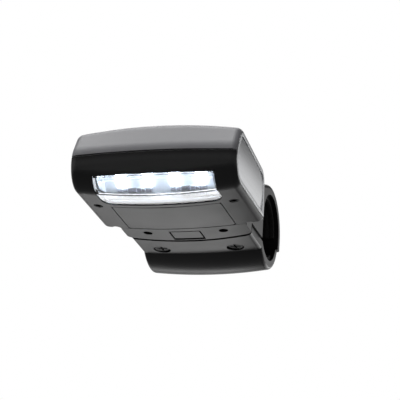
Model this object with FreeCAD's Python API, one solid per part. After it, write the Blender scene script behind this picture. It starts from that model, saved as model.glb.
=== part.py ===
import FreeCAD, Part
import math
import os

os.makedirs("parts", exist_ok=True)
Vec = FreeCAD.Vector
along_x = Vec(1, 0, 0)
along_y = Vec(0, 1, 0)
up = Vec(0, 0, 1)
half_turn = 180        # degrees

# Lamp on a clamp. The origin is on the axis of the clamp's bore, half way along the clamp.
# X runs along the bore, -Y points to the lens and +Z is up. All sizes are millimetres.

# Clearances
fit_gap = 0.3          # between pieces that move against each other
seat_gap = 0.1         # between pieces that are screwed or clipped together
pin_gap = 0.05         # a pin in the bore that turns on it
overcut = 2.0          # how far a cutting shape runs past the face that it opens

# Clamp, its bore and its pads
tube_radius = 16.0     # inside of the pads
pad_thickness = 2.0
pad_margin = 1.5       # pads stop short of the jaw's ends
pad_edge = 4.0         # angle in degrees that the lower pad stops short of the jaw's edges
clamp_half_width = 33.7
clamp_edge = 2.5       # rounding of the clamp's outer edges
saddle_wall = 5.5
saddle_skin = 3.0      # walls left round the hollow between the body and the bore
saddle_rib = 1.5
saddle_root = 6.5      # height above the seam from which the saddle's top rises
jaw_step = 1.0         # the jaw is narrower than the saddle on each side
jaw_wall = 6.5
jaw_crown = 2.0        # the jaw is this much fatter in the middle
jaw_edge = 2.0
flange_length = 18.8   # from the bore to the front of the jaw
front_parting = 12.0   # the halves of the clamp part here below the axis, at the front
hinge_parting = 6.0    # and here at the hinge
hinge_offset = 3.0     # hinge axis behind the saddle's arch
knuckle_radius = 4.2
knuckle_margin = 7.0   # knuckles stop short of the saddle's ends
jaw_knuckle_half = 11.7
hinge_pin_radius = 1.5

# Clamp screws and their nuts
clamp_screw_x = 20.2
clamp_screw_offset = 3.5   # from the bore's wall
clamp_shank_radius = 2.0
clamp_head_radius = 4.0
clamp_head_height = 2.4
clamp_recess_radius = 4.65
clamp_recess_depth = 3.1
clamp_thread_reach = 6.0   # length of the screw above the parting plane
nut_flats = 7.0
nut_sides = 6
nut_height = 3.2
swing_gap = 0.45           # the shank swings out of the nut as the jaw opens
driver_slot = 1.1
driver_depth = 1.2

# Lamp body: sizes of its end section, and how far the middle bulges beyond it
body_half_width = 43.0
body_depth = 64.0
plate_drop = 16.0      # from the bore's axis down to the underside
seam_height = 16.0
ridge_height = 31.2
back_height = 26.8
nose_setback = 4.0
ridge_setback = 9.5
back_lean = 3.0
nose_radius = 12.0
brow_radius = 15.0
ridge_radius = 6.0
back_radius = 8.0
heel_radius = 3.0
least_radius = 0.3     # smallest corner of the shell's inner outlines
roof_crown = 3.6
seam_crown = 1.3
belly_crown = 3.0
shell_wall = 2.2
reveal_height = 0.7    # the dark line along the seam
reveal_depth = 0.9

# Rounded ends of the body, the end caps in them and the caps' inlaid panels
end_round = 3.0        # length over which the ends of the body round over
end_shoulder = 1.8
end_shoulder_inset = 0.5
end_lip_inset = 1.4
end_lip = 0.6          # thickness of the body's edge round the cap
cap_proud = 0.2
panel_rim = 1.8
panel_groove = 0.5
panel_depth = 1.4
panel_sink = 0.3
cap_spigot = 0.9
cap_spigot_wall = 1.6

# Tongue under the saddle and the latch that slides in it
tongue_length = 14.7   # behind the body
tongue_root = 2.6      # inside the body's rounded heel
tongue_bow = 2.7       # the tongue's rear edge curves by this much
tongue_corner = 3.0
relief_radius = 2.4    # round notch in the body's heel, beside the root of the tongue
relief_bite = 0.3      # the notch cuts this far into the tongue's side
relief_inset = 1.8     # its centre in front of the body's back
relief_height = 3.0
relief_wall = 0.8
jaw_front_gap = 2.2
latch_half_width = 7.7
latch_flange = 1.5
latch_offset = 1.8     # behind the body's back
latch_bridge = 1.0     # tongue left behind the latch's window
latch_travel = 2.0
latch_flange_height = 3.2
latch_nose_half = 5.0
latch_nose_reach = 0.1 # past the battery box's rear wall
latch_nose_height = 1.1
latch_gap = 0.8        # round the latch's plate in its window

# Battery box, cells and door
cell_count = 3
cell_radius = 5.25
cell_length = 43.5
cell_nub_radius = 1.9
cell_nub = 1.0
cell_pitch = 10.6
cell_lift = 7.2        # axis of the cells above the underside
cell_gap = 0.25
box_margin = 0.7       # between the body's back wall and the cells
box_wall = 1.3
contact_size = 7.6
contact_thickness = 0.5
spring_length = 3.9
spring_end_radius = 1.6
door_ledge = 4.2       # the door overlaps the ends of the battery box
door_thickness = 2.0
door_corner = 1.5
door_ledge_gap = 0.2
door_gap = 0.45        # round the door's outline
door_nose = 1.2        # round of the door's front edge, about whose axis the door swings
door_tab_x = 18.0
door_tab_half = 2.5
door_tab_reach = 1.2
door_tab_height = 1.0
keeper_half = 7.0
keeper_thickness = 1.2
keeper_inset = 1.0     # keeper back from the door's rear edge
keeper_height = 3.8
keeper_slot_half = 5.6
keeper_slot_low = 1.4
keeper_slot_height = 1.7

# Lens, gasket and reflector
lens_half_width = 31.5
lens_rise = 5.5        # upper edge of the lens above the underside
lens_strip = 2.9       # between the lens and the battery door
lens_corner = 6.0
lens_recess = 0.4
lens_wall = 2.0
lens_lip = 1.2         # the flange inside the window
lens_lip_wall = 1.2
lens_land = 1.2        # solid border of the lens inside the window
gasket_thickness = 0.5
reflector_side = 0.7   # reflector narrower than the lens
reflector_wall = 1.0
reflector_lip_rise = 2.7
reflector_lip_depth = 6.5
reflector_top_depth = 10.0
reflector_top_drop = 1.6
reflector_foot_depth = 2.0
reflector_foot_rise = 2.0

# LEDs on their board
led_count = 4
led_pitch = 14.0
led_radius = 2.5
led_stem = 2.2
led_hole_gap = 0.3
led_board_side = 1.8   # board narrower than the reflector
led_board_height = 11.5
board_thickness = 1.6

# Screws that hold the housings, the saddle and the board
front_screw_inset = 7.4    # from the body's ends
front_screw_offset = 2.6   # behind the lens
rear_screw_x = 20.4
rear_screw_offset = 3.5    # behind the body
post_radius = 3.3
screw_shank_radius = 1.2
screw_pilot_gap = 0.05
screw_head_radius = 2.1
screw_head_height = 1.8
screw_recess_gap = 0.3
front_seat = 7.0           # seat of the screw heads above the underside
front_screw_length = 16.0
rear_seat = 3.0            # seat of the screw heads under the saddle
rear_screw_length = 10.0
saddle_screw_x = 22.0
saddle_screw_rise = 3.4    # above the seam
saddle_screw_length = 12.0

# Control board and what stands on it
control_half_width = 24.0
control_depth = 25.0
control_inset = 1.6
control_post = 3.0
control_post_radius = 2.4
control_screw_inset = 4.0
control_screw_length = 4.0
control_head_radius = 1.9
control_head_height = 1.3
tact_half = 3.0
tact_height = 3.4
tact_plunger_radius = 1.7
tact_plunger = 0.8
tilt_radius = 2.6
tilt_length = 9.0
tilt_side = 10.0           # from the control board's end
tilt_inset = 13.0

# Power button on the roof
button_inset = 7.0         # behind the control board's front edge
button_half_length = 11.0
button_radius = 5.5
button_proud = 0.5
button_flange = 1.2
button_stem_radius = 2.2
button_travel = 0.8

# Places worked out from the sizes above
bore_radius = tube_radius + pad_thickness
saddle_radius = bore_radius + saddle_wall
jaw_radius = bore_radius + jaw_wall
jaw_half_width = clamp_half_width - jaw_step
pad_half_length = jaw_half_width - pad_margin
knuckle_end = clamp_half_width - knuckle_margin
hinge_y = saddle_radius + hinge_offset
hinge_z = -hinge_parting
jaw_top = -front_parting - fit_gap
jaw_hinge_top = hinge_z - fit_gap
clamp_screw_y = -bore_radius - clamp_screw_offset
tongue_back = -bore_radius - flange_length
back_y = tongue_back - tongue_length
front_y = back_y - body_depth
tongue_front = back_y - tongue_root
relief_x = clamp_half_width + relief_radius - relief_bite
relief_y = back_y - relief_inset
plate_z = -plate_drop
relief_top = plate_z + relief_height
seam_z = plate_z + seam_height
shell_reach = body_half_width - end_round
end_x = body_half_width - cap_proud
cap_inset = end_lip_inset + end_lip
below_all = plate_z - belly_crown - overcut
above_all = plate_z + ridge_height + roof_crown + overcut
behind_all = hinge_y + knuckle_radius + overcut
latch_front = back_y + latch_offset
latch_length = tongue_length - latch_offset - latch_travel - fit_gap - latch_bridge
latch_step = -front_parting - latch_flange_height
rear_cell_y = back_y - shell_wall - box_margin - cell_gap - cell_radius
cell_z = plate_z + cell_lift
box_back = rear_cell_y + cell_radius + cell_gap
box_front = rear_cell_y - (cell_count - 1) * cell_pitch - cell_radius - cell_gap
box_roof = cell_z + cell_radius + cell_gap + box_wall
box_half_length = (cell_length + cell_nub + spring_length + seat_gap) / 2 + contact_thickness
door_half_width = box_half_length + door_ledge
door_axis_y = box_front + door_gap + door_nose
door_axis_z = plate_z - belly_crown + door_thickness / 2
lens_back = box_front - lens_strip
lens_top = plate_z + lens_rise
flange_inset = shell_wall + gasket_thickness
optic_inset = flange_inset + lens_lip_wall
reflector_half_width = lens_half_width - reflector_side
reflector_top = Vec(0, lens_back - reflector_top_depth, seam_z - reflector_top_drop)
reflector_foot = Vec(0, lens_back - reflector_foot_depth, plate_z + reflector_foot_rise)
led_slope = (reflector_foot - reflector_top).normalize()
led_facing = Vec(0, led_slope.z, -led_slope.y)
led_middle = (reflector_top + reflector_foot) / 2
front_screw_x = body_half_width - front_screw_inset
front_screw_y = lens_back + front_screw_offset
front_seat_z = plate_z + front_seat
rear_screw_y = back_y + rear_screw_offset
rear_seat_z = -front_parting - rear_seat
saddle_screw_z = seam_z + saddle_screw_rise
screw_pilot_radius = screw_shank_radius + screw_pilot_gap
screw_recess_radius = screw_head_radius + screw_recess_gap
control_front = box_front + control_inset
control_back = control_front + control_depth
control_z = box_roof + control_post
control_screw_x = control_half_width - control_screw_inset
tilt_x = tilt_side - control_half_width
tilt_y = control_front + tilt_inset
button_y = control_front + button_inset
button_stem_z = control_z + board_thickness + tact_height + tact_plunger + button_travel + seat_gap


def belly_at(x):
    # level of the crowned underside
    return plate_z - belly_crown * (1 - (x / body_half_width) ** 2)


def box(x_low, x_high, y_low, y_high, z_low, z_high):
    return Part.makeBox(x_high - x_low, y_high - y_low, z_high - z_low, Vec(x_low, y_low, z_low))


def bar(half, y_low, y_high, z_low, z_high):
    # box that is centred on the middle plane
    return box(-half, half, y_low, y_high, z_low, z_high)


def rod_x(radius, x_low, x_high, y, z):
    return Part.makeCylinder(radius, x_high - x_low, Vec(x_low, y, z), along_x)


def rod_z(radius, x, y, z_low, z_high):
    return Part.makeCylinder(radius, z_high - z_low, Vec(x, y, z_low), up)


def fuse(solids):
    return solids[0].multiFuse(solids[1:]).removeSplitter()


def rounded_wire(corners, radii):
    # closed outline with an arc at each corner that has a radius
    starts = []
    mids = []
    ends = []
    count = len(corners)
    for i in range(count):
        back = (corners[i - 1] - corners[i]).normalize()
        ahead = (corners[(i + 1) % count] - corners[i]).normalize()
        half_angle = back.getAngle(ahead) / 2
        reach = radii[i] / math.tan(half_angle)
        middle = (back + ahead).normalize() * (radii[i] / math.sin(half_angle) - radii[i])
        starts.append(corners[i] + back * reach)
        mids.append(corners[i] + middle)
        ends.append(corners[i] + ahead * reach)
    edges = []
    for i in range(count):
        if radii[i] > 0:
            edges.append(Part.Arc(starts[i], mids[i], ends[i]).toShape())
        edges.append(Part.LineSegment(ends[i], starts[(i + 1) % count]).toShape())
    return Part.Wire(edges)


def inset_corners(corners, inset):
    # moves every side of an outline in the YZ plane inwards by the same distance
    moved = []
    count = len(corners)
    for i in range(count):
        arriving = (corners[i] - corners[i - 1]).normalize()
        leaving = (corners[(i + 1) % count] - corners[i]).normalize()
        first = Vec(0, arriving.z, -arriving.y)
        second = Vec(0, leaving.z, -leaving.y)
        moved.append(corners[i] + (first + second) * (inset / (1 + first.dot(second))))
    return moved


def prism_x(corners, half):
    # polygon of (y, z) corners, extruded to both sides of the middle plane
    points = [Vec(-half, y, z) for y, z in corners]
    outline = Part.makePolygon(points + points[:1])
    return Part.Face(outline).extrude(Vec(2 * half, 0, 0))


def plan_prism(half, y_front, y_back, z_low, z_high, front_corner, back_corner):
    corners = [Vec(-half, y_front, z_low), Vec(-half, y_back, z_low),
               Vec(half, y_back, z_low), Vec(half, y_front, z_low)]
    outline = rounded_wire(corners, [front_corner, back_corner, back_corner, front_corner])
    return Part.Face(outline).extrude(Vec(0, 0, z_high - z_low))


def body_section(x, inset):
    # outline of the lamp body at one place along it
    rise = 1 - (x / body_half_width) ** 2
    floor = plate_z - belly_crown * rise
    lift = plate_z + roof_crown * rise
    corners = [
        Vec(x, front_y + nose_setback, floor),
        Vec(x, front_y, seam_z + seam_crown * rise),
        Vec(x, front_y + ridge_setback, ridge_height + lift),
        Vec(x, back_y - back_lean, back_height + lift),
        Vec(x, back_y, floor),
    ]
    radii = [nose_radius, brow_radius, ridge_radius, back_radius, heel_radius]
    rounds = [max(radius - inset, least_radius) for radius in radii]
    return rounded_wire(inset_corners(corners, inset), rounds)


def body_solid(inset, reach):
    sections = [body_section(x, inset) for x in (-reach, 0, reach)]
    return Part.makeLoft(sections, True)


def body_shell():
    # hollow body with rounded ends, each open for its cap
    solids = [body_solid(0, shell_reach)]
    openings = [body_solid(shell_wall, shell_reach)]
    for side in (-1, 1):
        sections = [body_section(side * shell_reach, 0),
                    body_section(side * (shell_reach + end_shoulder), end_shoulder_inset),
                    body_section(side * end_x, end_lip_inset)]
        solids.append(Part.makeLoft(sections, True))
        openings.append(end_prism(side, cap_inset, shell_reach, body_half_width + overcut))
    shell = fuse(solids)
    for opening in openings:
        shell = shell.cut(opening)
    return shell


def body_layer(outer_inset, inner_inset, reach):
    return body_solid(outer_inset, reach).cut(body_solid(inner_inset, reach))


def crowned_slab(half, y_low, y_high, z_high, crown_line):
    # slab with a level top whose underside follows a line that sags in the middle
    low_left = Vec(-half, y_low, crown_line(-half))
    low_mid = Vec(0, y_low, crown_line(0))
    low_right = Vec(half, y_low, crown_line(half))
    high_left = Vec(-half, y_low, z_high)
    high_right = Vec(half, y_low, z_high)
    edges = [
        Part.Arc(low_left, low_mid, low_right).toShape(),
        Part.LineSegment(low_right, high_right).toShape(),
        Part.LineSegment(high_right, high_left).toShape(),
        Part.LineSegment(high_left, low_left).toShape(),
    ]
    return Part.Face(Part.Wire(edges)).extrude(Vec(0, y_high - y_low, 0))


def below_seam(drop):
    # everything under the seam, which rises towards the middle
    left = Vec(-body_half_width, front_y - overcut, seam_z - drop)
    middle = Vec(0, front_y - overcut, seam_z + seam_crown - drop)
    right = Vec(body_half_width, front_y - overcut, seam_z - drop)
    low_right = Vec(body_half_width, front_y - overcut, below_all)
    low_left = Vec(-body_half_width, front_y - overcut, below_all)
    edges = [
        Part.Arc(left, middle, right).toShape(),
        Part.LineSegment(right, low_right).toShape(),
        Part.LineSegment(low_right, low_left).toShape(),
        Part.LineSegment(low_left, left).toShape(),
    ]
    return Part.Face(Part.Wire(edges)).extrude(Vec(0, body_depth + 2 * overcut, 0))


def lens_window(growth):
    return plan_prism(lens_half_width + growth, front_y - overcut, lens_back + growth,
                      below_all, lens_top + growth, 0, lens_corner + growth)


def pill(growth, z_low, z_high):
    # outline of the power button
    straight = button_half_length - button_radius
    radius = button_radius + growth
    middle = bar(straight, button_y - radius, button_y + radius, z_low, z_high)
    left = rod_z(radius, -straight, button_y, z_low, z_high)
    right = rod_z(radius, straight, button_y, z_low, z_high)
    return fuse([middle, left, right])


def screw_up(x, y, seat, head_radius, head_height, shank_radius, length):
    # screw that enters from below, with the underside of its head on the seat
    head = rod_z(head_radius, x, y, seat - head_height, seat)
    return head.fuse(rod_z(shank_radius, x, y, seat, seat + length)).removeSplitter()


def make_upper_housing():
    solids = [body_shell()]
    for side in (-1, 1):
        post = rod_z(post_radius, side * front_screw_x, front_screw_y, seam_z, above_all)
        solids.append(post.common(body_solid(shell_wall / 2, shell_reach)))
    housing = fuse(solids).cut(below_seam(0))
    for side in (-1, 1):
        tip = front_seat_z + front_screw_length + seat_gap
        pilot = rod_z(screw_pilot_radius, side * front_screw_x, front_screw_y, below_all, tip)
        housing = housing.cut(pilot)
        housing = housing.cut(saddle_screw_hole(side))
    return housing.cut(pill(fit_gap, seam_z + overcut, above_all))


def make_power_button():
    cap = pill(0, control_z, above_all).common(
        body_layer(-button_proud, shell_wall + button_flange, shell_reach))
    flange = pill(button_flange, control_z, above_all).common(
        body_layer(shell_wall + seat_gap, shell_wall + button_flange, shell_reach))
    stem = rod_z(button_stem_radius, 0, button_y, button_stem_z, above_all).common(
        body_solid(shell_wall, shell_reach))
    return fuse([cap, flange, stem])


def tongue_plan(front, back_shift):
    # outline of the tongue from above, with its bowed rear edge
    back = tongue_back + back_shift
    corner = back - tongue_bow
    points = [Vec(-clamp_half_width, front, below_all), Vec(clamp_half_width, front, below_all),
              Vec(clamp_half_width, corner, below_all), Vec(-clamp_half_width, corner, below_all)]
    edges = [
        Part.LineSegment(points[3], points[0]).toShape(),
        Part.LineSegment(points[0], points[1]).toShape(),
        Part.LineSegment(points[1], points[2]).toShape(),
        Part.Arc(points[2], Vec(0, back, below_all), points[3]).toShape(),
    ]
    return Part.Face(Part.Wire(edges)).extrude(Vec(0, 0, above_all - below_all))


def make_tongue():
    slab = crowned_slab(clamp_half_width, tongue_front, tongue_back, -front_parting, belly_at)
    tongue = slab.common(tongue_plan(tongue_front, 0))
    corners = [edge for edge in tongue.Edges
               if abs(edge.CenterOfMass.y - (tongue_back - tongue_bow)) < tongue_corner
               and abs(abs(edge.CenterOfMass.x) - clamp_half_width) < seat_gap
               and edge.BoundBox.ZLength > edge.BoundBox.YLength]
    return tongue.makeFillet(tongue_corner, corners)


def cut_latch_way(housing):
    back = latch_front + latch_length + latch_travel
    window = bar(latch_half_width + latch_gap, latch_front - latch_gap, back + fit_gap,
                 below_all, -front_parting)
    channel = bar(latch_half_width + latch_flange + fit_gap, latch_front - latch_flange - fit_gap,
                  back + fit_gap, latch_step - seat_gap, -front_parting)
    nose_low = latch_step - fit_gap
    nose_high = latch_step + latch_nose_height + fit_gap
    slot = bar(latch_nose_half + fit_gap, box_back - overcut, latch_front, nose_low, nose_high)
    return housing.cut(window).cut(channel).cut(slot)


def door_plan(growth, z_low, z_high):
    return plan_prism(door_half_width + growth, box_front - growth, box_back + growth,
                      z_low, z_high, door_corner, door_corner)


def cell_rows():
    return [rear_cell_y - i * cell_pitch for i in range(cell_count)]


def cut_battery_box(housing):
    for y in cell_rows():
        radius = cell_radius + cell_gap
        housing = housing.cut(rod_x(radius, -box_half_length, box_half_length, y, cell_z))
        housing = housing.cut(bar(box_half_length, y - radius, y + radius, below_all, cell_z))
    recess = door_plan(0, below_all, cell_z).cut(body_solid(door_thickness + door_ledge_gap, shell_reach))
    housing = housing.cut(recess)
    swing = 2 * door_nose + fit_gap
    housing = housing.cut(bar(door_half_width, box_front, door_axis_y + swing,
                              below_all, door_axis_z + swing))
    for side in (-1, 1):
        centre = side * door_tab_x
        reach = door_tab_reach + door_tab_height + fit_gap
        low = belly_at(0) + door_thickness
        housing = housing.cut(box(centre - door_tab_half - fit_gap, centre + door_tab_half + fit_gap,
                                  box_front - reach, box_front + overcut, low, low + 2 * reach))
    return housing


def make_lower_housing():
    outer = body_shell().common(below_seam(reveal_height))
    lip = body_layer(reveal_depth, shell_wall, shell_reach).common(below_seam(seat_gap))
    shell = outer.fuse(lip)
    inside = body_solid(shell_wall / 2, shell_reach).common(below_seam(seat_gap))
    end_wall = door_half_width + box_wall
    block = bar(end_wall, box_front - box_wall, back_y, below_all, box_roof)
    solids = [shell, block.common(inside), make_tongue()]
    for side in (-1, 1):
        post = rod_z(post_radius, side * front_screw_x, front_screw_y, below_all, above_all)
        solids.append(post.common(inside))
        boss = rod_z(relief_radius + relief_wall, side * relief_x, relief_y,
                     below_all, relief_top + relief_wall)
        solids.append(boss.common(inside))
        for y in control_rows():
            foot = box_roof - box_wall
            solids.append(rod_z(control_post_radius, side * control_screw_x, y, foot, control_z))
    housing = cut_latch_way(cut_battery_box(fuse(solids)))
    housing = housing.cut(lens_window(0))
    front_screw = (front_screw_x, front_screw_y, front_seat_z)
    rear_screw = (rear_screw_x, rear_screw_y, rear_seat_z)
    for side in (-1, 1):
        housing = housing.cut(rod_z(relief_radius, side * relief_x, relief_y, below_all, relief_top))
        for x, y, seat in (front_screw, rear_screw):
            housing = housing.cut(rod_z(screw_recess_radius, side * x, y, below_all, seat))
            housing = housing.cut(rod_z(screw_pilot_radius, side * x, y, seat, above_all))
        for y in control_rows():
            pilot = control_z - control_screw_length + board_thickness - seat_gap
            housing = housing.cut(rod_z(screw_pilot_radius, side * control_screw_x, y, pilot, control_z))
    return housing


def control_rows():
    inset = control_post_radius + seat_gap
    return (control_front + inset, control_back - inset)


def saddle_screw_hole(side):
    start = Vec(side * saddle_screw_x, back_y - back_lean - shell_wall, saddle_screw_z)
    return Part.makeCylinder(screw_pilot_radius, saddle_screw_length, start, along_y)


def make_saddle_screws():
    screws = []
    for side in (-1, 1):
        seat = back_y - back_lean * (saddle_screw_z - plate_z) / back_height - shell_wall - seat_gap
        start = Vec(side * saddle_screw_x, seat, saddle_screw_z)
        shank = Part.makeCylinder(screw_shank_radius, saddle_screw_length - shell_wall, start, along_y)
        head = Part.makeCylinder(screw_head_radius, screw_head_height, start, along_y * -1)
        screws.append(head.fuse(shank).removeSplitter())
    return Part.makeCompound(screws)


def end_prism(side, inset, x_low, x_high):
    # upright block with the outline of the body's end
    outline = body_section(side * body_half_width, inset)
    outline.translate(Vec(side * (x_low - body_half_width), 0, 0))
    return Part.Face(outline).extrude(Vec(side * (x_high - x_low), 0, 0))


def make_end_cap(side):
    plug = end_prism(side, cap_inset + seat_gap, shell_reach, body_half_width)
    spigot_base = body_section(side * shell_reach, shell_wall + seat_gap)
    spigot_core = body_section(side * shell_reach, shell_wall + seat_gap + cap_spigot_wall)
    inward = Vec(-side * cap_spigot, 0, 0)
    ring = Part.Face(spigot_base).extrude(inward).cut(Part.Face(spigot_core).extrude(inward))
    recess = end_prism(side, cap_inset + seat_gap + panel_rim, body_half_width - panel_depth,
                       body_half_width + overcut)
    return fuse([plug, ring]).cut(recess)


def make_end_panel(side):
    inset = cap_inset + seat_gap + panel_rim + panel_groove
    return end_prism(side, inset, body_half_width - panel_depth, body_half_width - panel_sink)


def make_front_lens():
    pane = body_layer(lens_recess, optic_inset, shell_reach).common(lens_window(-seat_gap))
    flange = body_layer(flange_inset, optic_inset, shell_reach).common(lens_window(lens_lip))
    hollow = body_solid(lens_recess + lens_wall, shell_reach).common(lens_window(-lens_land))
    return fuse([pane, flange]).cut(hollow)


def make_lens_gasket():
    ring = body_layer(shell_wall, flange_inset, shell_reach).common(lens_window(lens_lip))
    return ring.cut(lens_window(seat_gap))


def reflector_corners():
    lip_z = lens_top + reflector_lip_rise
    return [(front_y, below_all), (front_y, lip_z), (front_y + reflector_lip_depth, lip_z),
            (reflector_top.y, reflector_top.z), (reflector_foot.y, reflector_foot.z),
            (reflector_foot.y, below_all)]


def led_places():
    first = -(led_count - 1) / 2 * led_pitch
    return [led_middle + along_x * (first + i * led_pitch) for i in range(led_count)]


def make_reflector():
    corners = [Vec(0, y, z) for y, z in reflector_corners()]
    inner = [(corner.y, corner.z) for corner in inset_corners(corners, reflector_wall)]
    tray = prism_x(reflector_corners(), reflector_half_width)
    tray = tray.common(body_solid(optic_inset + seat_gap, shell_reach))
    tray = tray.cut(prism_x(inner, reflector_half_width - reflector_wall))
    for place in led_places():
        start = place - led_facing * overcut
        tray = tray.cut(Part.makeCylinder(led_radius + led_hole_gap, 2 * overcut, start, led_facing))
    return tray


def make_led_board():
    side = along_x * (reflector_half_width - led_board_side)
    rise = led_slope * (led_board_height / 2)
    low_left = led_middle - side + rise
    low_right = led_middle + side + rise
    high_right = led_middle + side - rise
    high_left = led_middle - side - rise
    outline = Part.makePolygon([low_left, low_right, high_right, high_left, low_left])
    return Part.Face(outline).extrude(led_facing * -board_thickness)


def make_leds():
    leds = []
    for place in led_places():
        stem = Part.makeCylinder(led_radius, led_stem, place, led_facing)
        ball = Part.makeSphere(led_radius, place + led_facing * led_stem)
        behind = Part.makeCylinder(led_radius + overcut, led_radius + led_stem,
                                   place - led_facing * led_radius, led_facing)
        leds.append(stem.fuse(ball.cut(behind)).removeSplitter())
    return Part.makeCompound(leds)


def make_cell(i):
    # cells lie nose to tail, so every other one is turned round
    turn = 1 if i % 2 == 0 else -1
    y = cell_rows()[i]
    nub_tip = turn * (contact_thickness + seat_gap - box_half_length)
    shoulder = nub_tip + turn * cell_nub
    can = Part.makeCylinder(cell_radius, cell_length, Vec(shoulder, y, cell_z), along_x * turn)
    nub = Part.makeCylinder(cell_nub_radius, cell_nub, Vec(nub_tip, y, cell_z), along_x * turn)
    return can.fuse(nub).removeSplitter()


def make_battery_contacts():
    plates = []
    half = contact_size / 2
    for y in cell_rows():
        for low in (-box_half_length, box_half_length - contact_thickness):
            plates.append(box(low, low + contact_thickness, y - half, y + half, cell_z - half, cell_z + half))
    return Part.makeCompound(plates)


def make_battery_springs():
    springs = []
    for i, y in enumerate(cell_rows()):
        turn = 1 if i % 2 == 0 else -1
        tail = turn * (contact_thickness + seat_gap - box_half_length + cell_nub + cell_length)
        plate = turn * (box_half_length - contact_thickness)
        springs.append(Part.makeCone(spring_end_radius, contact_size / 2, abs(plate - tail),
                                     Vec(tail, y, cell_z), along_x * turn))
    return Part.makeCompound(springs)


def make_battery_door():
    layer = body_layer(0, door_thickness, shell_reach)
    plate = layer.common(door_plan(-door_gap, below_all, cell_z))
    inner = belly_at(0) + door_thickness
    solids = [plate]
    for side in (-1, 1):
        centre = side * door_tab_x
        low = belly_at(centre) + door_thickness + fit_gap
        root = box(centre - door_tab_half, centre + door_tab_half, box_front + door_gap,
                   box_front + overcut, low - door_thickness, low + door_tab_height)
        hook = box(centre - door_tab_half, centre + door_tab_half, box_front - door_tab_reach,
                   box_front + overcut, low, low + door_tab_height)
        solids.append(root)
        solids.append(hook)
    keeper_back = box_back - keeper_inset
    keeper = bar(keeper_half, keeper_back - keeper_thickness, keeper_back, inner - door_thickness / 2,
                 inner + keeper_height)
    slot = bar(keeper_slot_half, keeper_back - overcut, keeper_back + overcut,
               inner + keeper_slot_low, inner + keeper_slot_low + keeper_slot_height)
    solids.append(keeper.cut(slot))
    edge = bar(door_half_width, box_front, door_axis_y, below_all, door_axis_z)
    nose = rod_x(door_nose, -door_half_width, door_half_width, door_axis_y, door_axis_z)
    return fuse(solids).cut(edge.cut(nose))


def make_battery_latch():
    back = latch_front + latch_length
    plate = crowned_slab(latch_half_width, latch_front, back, -front_parting - fit_gap, belly_at)
    flange = bar(latch_half_width + latch_flange, latch_front - latch_flange, back,
                 latch_step, -front_parting - fit_gap)
    nose = bar(latch_nose_half, box_back - latch_nose_reach, latch_front,
               latch_step, latch_step + latch_nose_height)
    return fuse([plate, flange, nose])


def saddle_outline():
    # side view of the saddle: tangent roof, round arch and U-shaped bore
    root = Vec(0, back_y - back_lean - overcut, seam_z + saddle_root)
    lean = math.atan2(root.z, root.y) - math.acos(saddle_radius / root.Length)
    shoulder = Vec(0, saddle_radius * math.cos(lean), saddle_radius * math.sin(lean))
    crest_angle = lean / 2
    crest = Vec(0, saddle_radius * math.cos(crest_angle), saddle_radius * math.sin(crest_angle))
    heel = Vec(0, saddle_radius, 0)
    heel_foot = Vec(0, saddle_radius, hinge_z)
    bore_foot = Vec(0, bore_radius, hinge_z)
    bore_back = Vec(0, bore_radius, 0)
    bore_front = Vec(0, -bore_radius, 0)
    toe = Vec(0, -bore_radius, -front_parting)
    front = Vec(0, root.y, -front_parting)
    edges = [
        Part.LineSegment(root, shoulder).toShape(),
        Part.Arc(shoulder, crest, heel).toShape(),
        Part.LineSegment(heel, heel_foot).toShape(),
        Part.LineSegment(heel_foot, bore_foot).toShape(),
        Part.LineSegment(bore_foot, bore_back).toShape(),
        Part.Arc(bore_back, Vec(0, 0, bore_radius), bore_front).toShape(),
        Part.LineSegment(bore_front, toe).toShape(),
        Part.LineSegment(toe, front).toShape(),
        Part.LineSegment(front, root).toShape(),
    ]
    return Part.Wire(edges)


def outer_end_edges(solid, half, radius):
    # rim of both end faces where it lies outside a round of this radius, above the parting plane
    chosen = []
    for edge in solid.Edges:
        middle = edge.valueAt((edge.FirstParameter + edge.LastParameter) / 2)
        outside = math.hypot(middle.y, middle.z) > radius - seat_gap
        at_end = abs(abs(middle.x) - half) < seat_gap and edge.BoundBox.XLength < seat_gap
        if outside and at_end and middle.z > hinge_z / 2:
            chosen.append(edge)
    return chosen


def saddle_knuckles():
    low = hinge_z
    arm = [(bore_radius + seat_gap, low), (hinge_y, low), (hinge_y, low + knuckle_radius),
           (saddle_radius - seat_gap, -low), (bore_radius + seat_gap, -low)]
    arms = prism_x(arm, knuckle_end)
    knuckles = rod_x(knuckle_radius, -knuckle_end, knuckle_end, hinge_y, hinge_z)
    middle = rod_x(knuckle_radius + 2 * fit_gap, -jaw_knuckle_half - fit_gap, jaw_knuckle_half + fit_gap,
                   hinge_y, hinge_z)
    gap = bar(jaw_knuckle_half + fit_gap, saddle_radius, behind_all,
              hinge_z - knuckle_radius - overcut, -hinge_z)
    return fuse([arms, knuckles]), fuse([middle, gap])


def nut_solid(side, flats, z_low, z_high):
    corner = flats / 2 / math.cos(math.pi / nut_sides)
    points = []
    for i in range(nut_sides):
        angle = 2 * math.pi * i / nut_sides
        x = side * clamp_screw_x + corner * math.cos(angle)
        y = clamp_screw_y + corner * math.sin(angle)
        points.append(Vec(x, y, z_low))
    outline = Part.makePolygon(points + points[:1])
    return Part.Face(outline).extrude(Vec(0, 0, z_high - z_low))


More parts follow.
